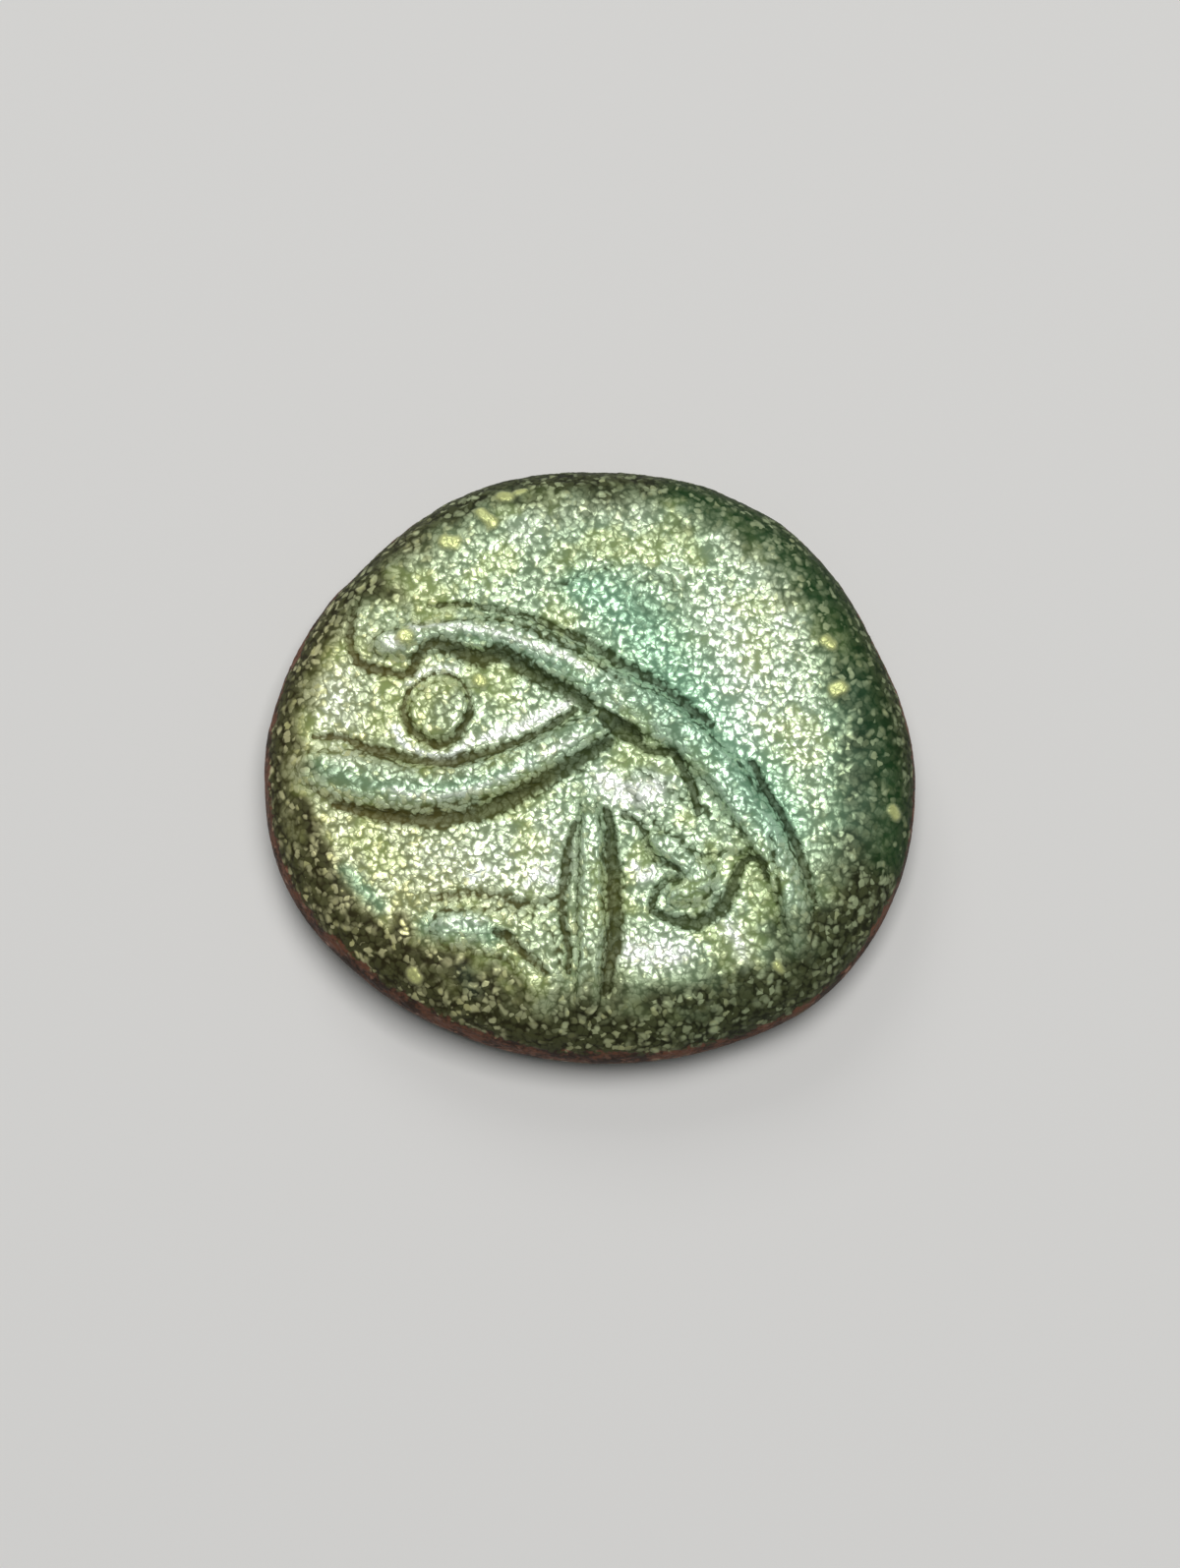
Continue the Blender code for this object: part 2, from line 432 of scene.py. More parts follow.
def ring_reach(first, last):
    """How far each ring lies from the first along the skin, as a share of the way to the last."""
    profile = [np.array([np.hypot(ring[:, 0], ring[:, 1]).mean(), ring[:, 2].mean()]) for ring in rings]
    steps = [np.linalg.norm(profile[n + 1] - profile[n]) for n in range(first, last)]
    reach = np.concatenate([[0], np.cumsum(steps)])
    return reach / reach[-1]


def disc_layout(reach, first, disc, mirror):
    """A place in the layout for every corner, for the rings that the disc holds."""
    layout = np.zeros((starts[-1], 2))
    across, up, radius = disc
    for number, share in enumerate(reach, first):
        shape = hammered_shape(len(rings[number])) * radius * share
        layout[starts[number]:starts[number + 1]] = shape * (mirror, 1) + (across, up)
    return layout


upper = disc_layout(ring_reach(0, widest_ring), 0, STRUCK_DISC, 1)
lower_reach = 1 - ring_reach(widest_ring, len(rings) - 1)
lower = disc_layout(lower_reach, widest_ring, REVERSE_DISC, -1)
corner_ids = np.array(triangles).reshape(-1)
in_upper = np.arange(len(corner_ids)) < 3 * upper_count
layout = np.where(in_upper[:, None], upper[corner_ids], lower[corner_ids]).astype(np.float32)
flan_mesh.uv_layers.new(name="OFBake").data.foreach_set("uv", layout.reshape(-1))
print("the layout has a disc for the struck face and a smaller one for the reverse")

# %% [markdown]
# The device, as guide strokes
#
# The die cutter sank the design with a few broad strokes and then sharpened them. Each stroke here is a row
# of points with the stroke's half width at each, so it can swell and taper. They are x, y and half width,
# in thousandths of half the coin's size, with x to the right and y to the top. The device is a face: a brow
# that runs down into a beak, a lid, a round pupil, an upright bar, and a curl beside it. Its broad strokes
# come first, then the crests on top of them and the grooves round them.

# %% Broad strokes, each with its share of the relief and how much of it is sloping side
BROAD_STROKES = {
    "brow_and_beak": (0.66, 0.50, (
        (-618, 370, 55), (-543, 380, 64), (-446, 396, 58), (-331, 396, 64), (-210, 370, 72),
        (-104, 315, 80), (2, 240, 86), (123, 166, 88), (244, 93, 82), (340, 6, 80), (431, -107, 80),
        (510, -240, 77), (576, -380, 68), (625, -535, 58), (643, -649, 46),
    )),
    "lower_lid": (0.60, 0.50, (
        (-840, -48, 73), (-770, -65, 97), (-688, -85, 109), (-573, -115, 97), (-452, -108, 82),
        (-331, -85, 85), (-216, -51, 91), (-126, -15, 88), (-20, 55, 76), (44, 102, 45),
    )),
    "pupil": (0.42, 0.30, ((-470, 139, 94), (-452, 152, 97))),
    "bar": (0.60, 0.45, ((-5, -168, 33), (2, -258, 45), (2, -442, 51), (2, -642, 51), (-8, -816, 48))),
    "curl": (0.62, 0.65, (
        (195, -275, 36), (256, -322, 61), (316, -388, 76), (316, -445, 73), (256, -475, 42),
    )),
    "cheek": (0.35, 0.80, ((159, -101, 67), (238, -188, 91), (352, -262, 97), (461, -295, 54))),
    "throat": (0.38, 0.60, ((-416, -582, 88), (-301, -595, 94), (-186, -625, 106), (-144, -749, 85))),
}
print(f"{len(BROAD_STROKES)} broad strokes")

# %% Crests that stand on them, and two faint ridges in the field
RING_MIDDLE = (198, 533)


def round_ring(across, up, half):
    """A stroke all round the middle of the faint ring, at the given reach across and up."""
    x, y = RING_MIDDLE
    turns = np.linspace(0, math.tau, 13).tolist()
    return tuple((x + across * math.cos(turn), y + up * math.sin(turn), half) for turn in turns)


CRESTS = {
    "brow_crest": (0.24, 0.6, (
        (-604, 393, 52), (-513, 423, 52), (-407, 436, 55), (-286, 423, 58), (-180, 393, 62),
        (-83, 332, 66), (8, 259, 68), (123, 192, 66), (231, 119, 64), (322, 32, 62), (413, -81, 62),
        (492, -215, 58), (555, -358, 54), (607, -525, 48), (631, -625, 42),
    )),
    "lid_crest": (0.26, 0.6, (
        (-794, -41, 60), (-685, -81, 78), (-537, -105, 74), (-401, -91, 66), (-295, -65, 66),
        (-186, -15, 64), (-80, 49, 56), (20, 106, 40),
    )),
    "bar_crest": (0.22, 0.6, (
        (-5, -202, 27), (2, -275, 39), (2, -442, 45), (-2, -642, 45), (-8, -802, 42),
    )),
    "curl_crest": (0.22, 0.7, ((274, -348, 42), (322, -408, 51), (286, -462, 39))),
    "end_of_brow_bulb": (0.24, 0.6, ((-598, 376, 45), (-589, 383, 45))),
    "throat_lump": (0.30, 0.9, ((-428, -575, 80), (-356, -569, 70))),
    "ground_line": (0.26, 1.0, (
        (86, -749, 27), (219, -772, 33), (304, -759, 33), (395, -729, 30), (492, -709, 24),
    )),
    "ghost_ring": (0.20, 1.0, round_ring(82, 90, 28)),
}
print(f"{len(CRESTS)} crests and ridges")

# %% Grooves that the relief sits in, which also hold the dirt and painted shade
GROOVES = {
    "under_brow": (0.38, 1.0, (
        (-707, 559, 15), (-725, 486, 21), (-734, 419, 27), (-722, 353, 30), (-691, 302, 30),
        (-640, 282, 30), (-579, 272, 30), (-543, 282, 30), (-522, 332, 33), (-483, 366, 39),
        (-422, 353, 48), (-346, 322, 54), (-271, 332, 51), (-204, 296, 51), (-138, 252, 48),
        (-71, 209, 45), (-5, 159, 39),
    )),
    "over_lid": (0.38, 1.0, (
        (-840, 59, 15), (-743, 55, 21), (-688, 29, 24), (-622, 2, 27), (-537, -18, 33), (-437, -25, 36),
        (-319, -1, 33), (-210, 39, 27), (-123, 89, 24), (-41, 146, 18),
    )),
    "under_lid": (0.42, 1.0, (
        (-770, -165, 24), (-667, -195, 33), (-546, -215, 39), (-428, -215, 45), (-316, -195, 54),
        (-210, -138, 57), (-113, -75, 54), (-29, -18, 45), (56, 42, 33),
    )),
    "round_pupil": (0.36, 1.0, (
        (-507, 252, 9), (-549, 212, 12), (-564, 152, 21), (-540, 89, 27), (-480, 42, 30), (-428, 42, 30),
        (-386, 85, 24), (-365, 152, 15), (-371, 212, 12), (-410, 256, 9), (-458, 272, 9), (-507, 252, 9),
    )),
    "over_brow": (0.32, 1.0, (
        (-483, 499, 15), (-377, 503, 18), (-274, 486, 21), (-180, 459, 24), (-101, 419, 27), (2, 363, 30),
        (101, 299, 33), (201, 239, 33), (301, 156, 30), (371, 99, 21),
    )),
    "over_beak": (0.38, 1.0, (
        (492, -28, 18), (534, -115, 24), (570, -188, 27), (610, -268, 24), (640, -348, 24),
        (667, -442, 21), (688, -529, 15),
    )),
    "along_brow": (0.26, 1.0, (
        (-325, 466, 15), (-234, 439, 21), (-150, 393, 24), (-41, 339, 24), (44, 282, 21), (92, 236, 15),
    )),
    "under_beak": (0.40, 1.0, (
        (98, 59, 24), (141, 42, 27), (183, 9, 27), (256, -5, 24), (286, -58, 27), (313, -128, 24),
        (328, -195, 18),
    )),
    "inside_beak": (0.24, 1.0, ((540, -275, 15), (558, -375, 18), (564, -492, 18), (570, -592, 15))),
    "corner_pit": (0.60, 1.0, ((41, 122, 30), (74, 96, 42), (113, 79, 42), (147, 52, 30))),
    "right_of_bar": (0.50, 1.0, (
        (53, -188, 15), (62, -258, 27), (68, -342, 39), (77, -442, 45), (77, -542, 45), (68, -659, 42),
        (50, -782, 33),
    )),
    "left_of_bar": (0.36, 1.0, (
        (-47, -235, 15), (-65, -308, 24), (-77, -392, 30), (-86, -475, 30), (-83, -559, 24),
        (-71, -642, 21), (-68, -726, 15),
    )),
    "beside_curl": (0.32, 1.0, (
        (104, -205, 18), (153, -235, 21), (174, -302, 24), (195, -348, 24), (256, -375, 21),
        (265, -405, 21), (219, -435, 21), (192, -472, 21), (183, -515, 18),
    )),
    "under_curl": (0.42, 1.0, (
        (186, -522, 18), (244, -549, 30), (322, -562, 42), (389, -522, 42), (431, -455, 36),
        (452, -392, 30), (483, -348, 24), (519, -355, 21), (531, -408, 18),
    )),
    "over_throat": (0.24, 1.0, (
        (-483, -479, 24), (-392, -469, 30), (-301, -472, 33), (-180, -502, 33), (-101, -489, 30),
    )),
    "under_ridge_of_brow": (0.20, 1.0, (
        (-398, 353, 24), (-325, 332, 33), (-253, 332, 27), (-165, 279, 27), (-74, 226, 27),
    )),
    "crack": (0.20, 1.0, ((-113, 569, 12), (-59, 586, 15), (14, 616, 15), (80, 643, 12))),
    "throat_cut": (0.34, 1.0, (
        (-289, -595, 18), (-265, -599, 27), (-238, -619, 30), (-186, -669, 30), (-138, -722, 27),
    )),
}
print(f"{len(GROOVES)} grooves")

# %% [markdown]
# Wear, stains and painted light, drawn the same way
#
# Fingers and sand have rubbed the patina thin where a coin is flat or proud, and salts in the ground stained
# it in drifts. A single noise would spread these evenly, but on this coin they have places: bright rubbed
# patches beside the beak, the bar and the pupil, a green drift along the upper right rim, and teal along
# the outer side of the beak. The bright patches are partly wear and partly painted highlight, whitest on
# the brow's ridge, the bulb and round the pupil. The dull patches are partly dull patina and partly
# painted shade, down the slopes to the rim and round the lumps. So they are strokes too, wide and soft,
# and only the finish reads them.

# %% Rubbed patches, with painted highlights
RUBBED_AND_HIGHLIT_PATCHES = {
    "beside_top_of_beak": (0.6, 1.0, ((410, 459, 160), (461, 292, 190), (501, 109, 170))),
    "upper_right": (0.6, 1.0, ((440, 743, 110), (552, 610, 130), (607, 393, 120))),
    "top": (0.5, 1.0, ((-210, 776, 110), (-29, 843, 90), (153, 826, 100))),
    "white_left_of_bar": (1.0, 1.0, ((-192, -432, 42), (-150, -388, 61), (-116, -429, 45))),
    "white_middle": (1.0, 1.0, ((-356, -415, 54), (-310, -378, 48))),
    "patch_left_of_bar": (0.45, 1.0, (
        (-483, -358, 100), (-301, -358, 160), (-144, -375, 150), (-120, -242, 100),
    )),
    "below_curl": (1.0, 1.0, ((123, -649, 79), (195, -662, 109), (280, -662, 85))),
    "right_of_ground_line": (0.9, 1.0, ((419, -575, 54), (449, -635, 73), (470, -692, 54))),
    "beside_bar": (1.0, 1.0, ((132, -368, 30), (159, -408, 48), (183, -388, 42))),
    "under_corner": (1.0, 1.0, ((38, -91, 80), (123, -135, 110), (198, -108, 100))),
    "eye": (1.0, 1.0, ((-325, 49, 36), (-210, 92, 51), (-101, 142, 45), (-59, 169, 27))),
    "under_pupil": (1.0, 1.0, (
        (-592, 99, 27), (-564, 32, 36), (-492, -1, 39), (-422, -1, 39), (-362, 42, 30),
    )),
    "ridge_of_brow": (0.9, 1.0, (
        (-549, 423, 27), (-452, 433, 30), (-356, 419, 30), (-241, 386, 30), (-150, 349, 30),
        (-71, 316, 30), (8, 259, 27),
    )),
    "ridge_of_lid": (0.85, 1.0, (
        (-604, -128, 24), (-483, -148, 24), (-362, -128, 27), (-241, -75, 27), (-120, -1, 24),
        (-29, 59, 21),
    )),
    "on_bulb": (1.0, 1.0, ((-598, 376, 51), (-589, 383, 51))),
    "over_pupil": (0.8, 1.0, ((-555, 236, 30), (-495, 279, 36), (-416, 286, 30))),
    "on_throat_lump": (0.6, 1.0, ((-458, -575, 45), (-398, -555, 57), (-331, -569, 42))),
    "left_end": (0.6, 1.0, ((-770, 226, 100), (-779, 92, 110), (-755, 9, 80))),
    "right_of_beak": (0.35, 1.0, ((516, 426, 110), (607, 226, 120), (673, 25, 110))),
}
print(f"{len(RUBBED_AND_HIGHLIT_PATCHES)} rubbed patches")

# %% Dull and dirty patches, with painted shade
DULLED_AND_SHADED_PATCHES = {
    "round_ghost_ring": (0.85, 1.0, round_ring(52, 60, 26)),
    "over_the_pupil": (0.35, 1.0, ((-470, 145, 120), (-446, 158, 120))),
    "throat_patch": (0.8, 1.0, (
        (-573, -549, 54), (-537, -635, 79), (-446, -716, 85), (-313, -696, 73), (-216, -756, 61),
    )),
    "under_ground_line": (0.4, 1.0, ((32, -816, 79), (244, -809, 79), (486, -782, 73))),
    "over_middle": (0.4, 1.0, ((-165, 643, 121), (-29, 693, 151), (62, 643, 121))),
    "lower_left_slope": (1.0, 1.0, (
        (-870, -175, 61), (-840, -275, 73), (-770, -459, 85), (-649, -625, 91), (-483, -749, 79),
    )),
    "over_the_bottom": (0.9, 1.0, ((-543, -649, 73), (-422, -709, 79), (-286, -776, 67))),
    "left_of_brow": (0.6, 1.0, ((-628, 559, 79), (-543, 499, 79))),
    "right_slope": (0.25, 1.0, ((752, 426, 109), (806, 159, 133), (812, -108, 145), (758, -375, 133))),
    "low_on_bar": (0.5, 1.0, ((2, -659, 42), (-2, -776, 48), (-5, -876, 45))),
    "in_beak": (0.5, 1.0, ((440, -275, 73), (522, -459, 79), (561, -609, 73))),
    "top_of_lid": (0.45, 1.0, (
        (-649, -55, 39), (-513, -71, 42), (-377, -58, 39), (-241, -15, 36), (-120, 49, 33),
    )),
    "left_of_lid": (0.5, 1.0, ((-852, -41, 48), (-770, -81, 57), (-682, -115, 48))),
    "in_pupil": (0.8, 1.0, ((-452, 126, 15), (-419, 176, 18), (-383, 216, 15))),
    "turn_of_brow": (0.35, 1.0, ((101, 226, 54), (189, 146, 67), (274, 72, 61))),
    "brow_top": (0.15, 1.0, ((-513, 453, 42), (-301, 466, 48), (-120, 409, 54), (2, 332, 61))),
}
print(f"{len(DULLED_AND_SHADED_PATCHES)} dull patches")

# %% Green and teal stains
GREEN_STAIN = {
    "upper_right_rim": (1.0, 1.0, (
        (274, 877, 120), (486, 776, 150), (652, 610, 170), (758, 393, 160), (849, 126, 130),
        (909, -108, 120), (909, -308, 130),
    )),
}
TEAL_STAIN = {
    "lower_left_spot": (0.9, 1.0, ((-749, -388, 45), (-688, -449, 54), (-640, -502, 42))),
    "throat_tint": (0.8, 1.0, ((-483, -575, 79), (-392, -569, 85), (-301, -602, 61))),
    "bottom_spot": (0.9, 1.0, ((-380, -722, 42), (-343, -786, 45))),
    "outer_side_of_beak": (1.0, 1.0, (
        (-29, 560, 115), (74, 509, 176), (168, 393, 218), (274, 226, 230), (425, 25, 194),
        (576, -225, 145),
    )),
    "along_lid": (0.75, 1.0, (
        (-828, -51, 67), (-679, -98, 73), (-513, -121, 61), (-331, -101, 48), (-165, -28, 36),
    )),
    "along_brow_tint": (0.5, 1.0, ((-362, 393, 54), (-180, 332, 61), (2, 226, 67))),
    "right_side": (0.8, 1.0, ((788, 226, 130), (812, -8, 150), (788, -242, 130))),
}
print(f"{len(GREEN_STAIN) + len(TEAL_STAIN)} stains")

# %% [markdown]
# Crumbs of crust
#
# Here and there a grain of earth or of hard crust has stayed on the coin and stands up from the skin like a
# tiny flat pebble. Loose pebbles would be pieces of their own, but these have grown onto the patina, so each
# is a short stroke that is lifted with the device, and all of them rise to one height.

# %% Crumbs of crust that stuck to the skin
CRUMB_HEIGHT = 0.28
CRUMB_SIDE = 0.6
CRUMB_PLACES = {
    "upper_left": ((-446, 723, 33), (-413, 720, 33)),
    "long_upper_left": ((-334, 823, 27), (-301, 783, 30)),
    "top_left": ((-268, 883, 33), (-253, 880, 30)),
    "small_top_left": ((-222, 897, 21), (-204, 903, 18)),
    "beside_bulb": ((-567, 393, 36), (-558, 389, 36)),
    "lower_left": ((-534, -722, 30), (-522, -739, 27)),
    "over_pupil_crumb": ((-334, 249, 27), (-325, 242, 27)),
    "right_rim": ((921, -175, 27), (930, -188, 27)),
    "upper_right_crumb": ((722, 389, 30), (740, 373, 27)),
    "white_right": ((743, 219, 36), (761, 229, 33)),
    "low_right": ((564, -702, 21), (576, -716, 18)),
}
CRUMBS = {name: (CRUMB_HEIGHT, CRUMB_SIDE, points) for name, points in CRUMB_PLACES.items()}
print(f"{len(CRUMBS)} crumbs of crust")

# %% [markdown]
# Guides for the trees
#
# A curve in Blender can carry a radius at each of its points, which is just what a stroke needs. The guides
# are there only to be measured, so they are taken away again once the coin has been struck.

# %% Make a guide curve of each stroke
def guide_curve(name, stroke):
    """A curve through a stroke's points, whose radius is the stroke's half width."""
    drawn = bpy.data.curves.new(name, "CURVE")
    drawn.dimensions = "3D"
    line = drawn.splines.new("POLY")
    line.points.add(len(stroke) - 1)
    for point, (x, y, half) in zip(line.points, stroke, strict=True):
        point.co = (x / 1000 * half_width, y / 1000 * half_depth, 0, 1)
        point.radius = half / 1000 * half_width
    guide = bpy.data.objects.new(name, drawn)
    bpy.context.scene.collection.objects.link(guide)
    return guide


guides = {}
for strokes in (BROAD_STROKES, CRESTS, GROOVES, RUBBED_AND_HIGHLIT_PATCHES, DULLED_AND_SHADED_PATCHES, GREEN_STAIN, TEAL_STAIN, CRUMBS):
    for name, (_, _, stroke) in strokes.items():
        assert name not in guides, name
        guides[name] = guide_curve(name, stroke)
print(f"{len(guides)} guide strokes")

# %% [markdown]
# How far a place lies into a stroke
#
# The strokes could be sculpted by hand or cut with Booleans, but a rule keeps them editable. A node group
# turns one guide into points, finds the nearest of them to each corner of the skin, and divides the
# distance by the half width there. That gives 1 on the stroke's flat top and 0 outside, with a smooth side.

# %% A node group that measures one stroke
def new_tree(name, sockets):
    """A geometry node group with the given inputs, and the wires of those inputs."""
    tree = bpy.data.node_groups.new(name, "GeometryNodeTree")
    for direction, kind, label in sockets:
        tree.interface.new_socket(label, in_out=direction, socket_type="NodeSocket" + kind)
    entry = tree.nodes.new("NodeGroupInput")
    return tree, {socket.name: Wire(socket) for socket in entry.outputs if socket.name}


def finish_tree(tree, values):
    """Gives the group its outputs, in order."""
    way_out = tree.nodes.new("NodeGroupOutput")
    for socket, value in zip(way_out.inputs, values, strict=False):
        tree.links.new(value.socket, socket)


def stored(wire, name):
    """The number that each corner or point keeps under a name."""
    return wire.node("GeometryNodeInputNamedAttribute", {"data_type": "FLOAT"}, {"Name": name})


stroke_tree, given = new_tree("measure_stroke", (
    ("INPUT", "Object", "Guide"),
    ("INPUT", "Vector", "Place"),
    ("INPUT", "Float", "Side"),
    ("INPUT", "Float", "Spacing"),
    ("OUTPUT", "Float", "Inside"),
))
place = given["Place"]
shown = place.node("GeometryNodeObjectInfo", None, {"Object": given["Guide"]}, "Geometry")
curve = shown.node("GeometryNodeCurveSplineType", {"spline_type": "CATMULL_ROM"}, {"Curve": shown})
radius = curve.node("GeometryNodeInputRadius")
marked = curve.node(
    "GeometryNodeStoreNamedAttribute", None, {"Geometry": curve, "Name": "half_width", "Value": radius},
)
points = marked.node(
    "GeometryNodeCurveToPoints", {"mode": "LENGTH"}, {"Curve": marked, "Length": given["Spacing"]}, "Points",
)
position = points.node("GeometryNodeInputPosition")
nearest = points.node("GeometryNodeSampleNearest", None, {"Geometry": points, "Sample Position": place})
as_vector, as_number = {"data_type": "FLOAT_VECTOR"}, {"data_type": "FLOAT"}
point_place = points.node("GeometryNodeSampleIndex", as_vector, [points, position, nearest])
half_there = stored(points, "half_width")
point_half = points.node("GeometryNodeSampleIndex", as_number, [points, half_there, nearest])
reach = place.vectors("DISTANCE", place, point_place)
inwards = 1 - reach.maths("DIVIDE", reach, point_half)
finish_tree(stroke_tree, [rise(inwards.maths("DIVIDE", inwards, given["Side"]), 0.0, 1.0)])
print(f"a stroke is measured by {len(stroke_tree.nodes)} nodes")

# %% [markdown]
# Striking the device
#
# One blow raises all the strokes together, so the highest of them counts at each place, and then the
# grooves are taken off. The lift fades over the shoulder, as the die did not reach down the edge. The
# tree also writes down what it did, as attributes that the finish reads: how high a place was raised, how
# much of it is a groove or a sloping side, where dirt and painted shade lie in the grooves and painted
# shade on the slopes, and where crumbs, wear with painted highlights, dull patches with painted shade,
# and stains lie.

# %% Build the tree that strikes the flan
BLEND_OF_STROKES = 0.12
# How strongly the sloping sides of the strokes are painted with shade
SHADE_ON_SLOPES = 0.18
WAVERS_PER_METRE = 900.0


def wavering(place, scale, detail, reach):
    """The place moved about by a noise, so that what is drawn there isn't ruler straight."""
    inputs = {"Vector": place, "Scale": scale, "Detail": detail}
    noise = place.node("ShaderNodeTexNoise", None, inputs, "Color")
    push = noise.vectors("SUBTRACT", noise, (0.5, 0.5, 0.5))
    push = push.vectors("SCALE", push, reach)
    return push.vectors("ADD", place, push)


strike_tree, given = new_tree("strike_device", (
    ("INPUT", "Geometry", "Geometry"),
    ("INPUT", "Float", "Relief"),
    ("INPUT", "Float", "Spacing"),
    ("INPUT", "Float", "Wander"),
    ("OUTPUT", "Geometry", "Geometry"),
))
position = given["Geometry"].node("GeometryNodeInputPosition")
wavered = wavering(position, WAVERS_PER_METRE, 3.0, given["Wander"])
flat_place = wavered.vectors("MULTIPLY", wavered, (1, 1, 0))


def measured(strokes):
    """For each stroke, its share times how far each place lies into it, and that alone."""
    found = []
    for name, (share, side, _) in strokes.items():
        inside = given["Geometry"].node(
            "GeometryNodeGroup", {"node_tree": stroke_tree},
            {"Guide": guides[name], "Place": flat_place, "Side": side, "Spacing": given["Spacing"]},
        )
        found.append((share * inside, inside))
    return found


broad, crests, grooves = measured(BROAD_STROKES), measured(CRESTS), measured(GROOVES)
raised = highest([height for height, _ in broad], BLEND_OF_STROKES)
raised = raised + highest([height for height, _ in crests])
sunk = highest([depth * inside for depth, inside in grooves])
sloping = highest([inside * (1 - inside) * 4 for _, inside in broad])
in_groove = highest([depth for depth, _ in grooves])
# Painted shade on the sloping sides, and dirt with painted shade in the grooves
settled = highest([SHADE_ON_SLOPES * sloping * sloping, in_groove])

fall = stored(raised, "fall")
reached = rise(fall, 0.0, 0.75, 1.0, 0.0)
crumb = highest([inside for _, inside in measured(CRUMBS)]) * rise(fall, 0.9, 1.0, 1.0, 0.0)
lift = ((raised - sunk) * reached + CRUMB_HEIGHT * crumb) * given["Relief"]
offset = lift.node("ShaderNodeCombineXYZ", None, {"Z": lift})
struck = offset.node("GeometryNodeSetPosition", None, {"Geometry": given["Geometry"], "Offset": offset})
marks = {
    "raised": raised * reached,
    "settled": settled * reached * (1 - crumb),
    "crumb": crumb,
    "rubbed": highest([amount for amount, _ in measured(RUBBED_AND_HIGHLIT_PATCHES)]) * reached,
    "dulled": highest([amount for amount, _ in measured(DULLED_AND_SHADED_PATCHES)]) * reached,
    "green": highest([amount for amount, _ in measured(GREEN_STAIN)]),
    "teal": highest([amount for amount, _ in measured(TEAL_STAIN)]),
}
for name, value in marks.items():
    struck = struck.node(
        "GeometryNodeStoreNamedAttribute", None, {"Geometry": struck, "Name": name, "Value": value},
    )
finish_tree(strike_tree, [struck])
print(f"the strike takes {len(strike_tree.nodes)} nodes")

# %% [markdown]
# The grain of the patina
#
# Corroded copper is not rough like sandpaper. It is a crowd of tiny worn beads with crevices that wander
# between them like worm tracks, about a fifth of a millimetre apart, and a few broader tracks. The places
# where a noise passes through its middle value form just such wandering lines, and the cells of a Voronoi
# pattern make the beads. The same functions build the patterns twice: here in the shape, and later in the
# colours, so that the dark crevices lie where the skin is really sunk.

# %% A pattern of crevices, and one of beads
CREVICES_PER_MM = 3.8
TRACKS_PER_MM = 1.1
BEADS_PER_MM = 6.0
SPECKS_PER_MM = 3.4


def crevices(millimetres, per_mm):
    """0 along thin wandering lines and 1 between them, at a place given in millimetres."""
    noise = millimetres.node(
        "ShaderNodeTexNoise", None,
        {"Vector": millimetres, "Scale": per_mm, "Detail": 1.0, "Roughness": 0.4, "Distortion": 0.8},
    )
    return rise(abs(noise - 0.5), 0.005, 0.075)


def soft_noise(millimetres, per_mm, detail=2.0):
    """A cloudy value round one half, per_mm clouds to the millimetre."""
    inputs = {"Vector": millimetres, "Scale": per_mm, "Detail": detail, "Roughness": 0.5}
    return millimetres.node("ShaderNodeTexNoise", None, inputs)


def beads(millimetres, per_mm, flat=0.36, edge=0.82):
    """Rounded beads that lie side by side in wavering rows, 1 on top of each, and a chance for each bead."""
    wavered = wavering(millimetres, 0.7 * per_mm, 1.0, 1.5 / per_mm)
    distance = wavered.node(
        "ShaderNodeTexVoronoi", {"feature": "F1"}, {"Vector": wavered, "Scale": per_mm, "Randomness": 1.0},
    )
    parts = distance.node("ShaderNodeSeparateXYZ", None, {"Vector": distance.beside("Color")})
    return rise(distance, flat, edge, 1.0, 0.0), parts


print(f"the crevices are {1 / CREVICES_PER_MM:.2f} mm apart and the beads {1 / BEADS_PER_MM:.2f} mm")

# %% Build the tree that eats the grain into the skin
LUMPS_PER_MM = 1.5
SWELLS_PER_MM = 0.45
grain_tree, given = new_tree("eat_grain", (
    ("INPUT", "Geometry", "Geometry"),
    ("INPUT", "Float", "Grain Depth"),
    ("INPUT", "Float", "Lump Height"),
    ("INPUT", "Float", "Swell Height"),
    ("INPUT", "Material", "Finish"),
    ("OUTPUT", "Geometry", "Geometry"),
))
place = given["Geometry"].node("GeometryNodeInputPosition")
millimetres = place.vectors("SCALE", place, 1000.0)
fall = stored(place, "fall")
on_top = rise(fall, 0.85, 1.0, 1.0, 0.35) * rise(fall, 1.5, 1.9, 1.0, 0.0)
between = crevices(millimetres, CREVICES_PER_MM)
tracks = crevices(millimetres, TRACKS_PER_MM)
bead, _ = beads(millimetres, BEADS_PER_MM)
lumps = soft_noise(millimetres, LUMPS_PER_MM) - 0.5
swells = soft_noise(millimetres, SWELLS_PER_MM, 1.0) - 0.5
grain = (0.5 * between + 0.5 * bead + 0.5 * tracks - 1.5) * given["Grain Depth"]
amount = grain + lumps * given["Lump Height"] + swells * given["Swell Height"]
normal = place.node("GeometryNodeInputNormal")
offset = normal.vectors("SCALE", normal, amount * on_top)
grained = offset.node("GeometryNodeSetPosition", None, {"Geometry": given["Geometry"], "Offset": offset})
whole = grained.node("GeometryNodeRealizeInstances", None, {"Geometry": grained})
finished = whole.node("GeometryNodeSetMaterial", None, {"Geometry": whole, "Material": given["Finish"]})
finish_tree(grain_tree, [finished])
print(f"the grain takes {len(grain_tree.nodes)} nodes")

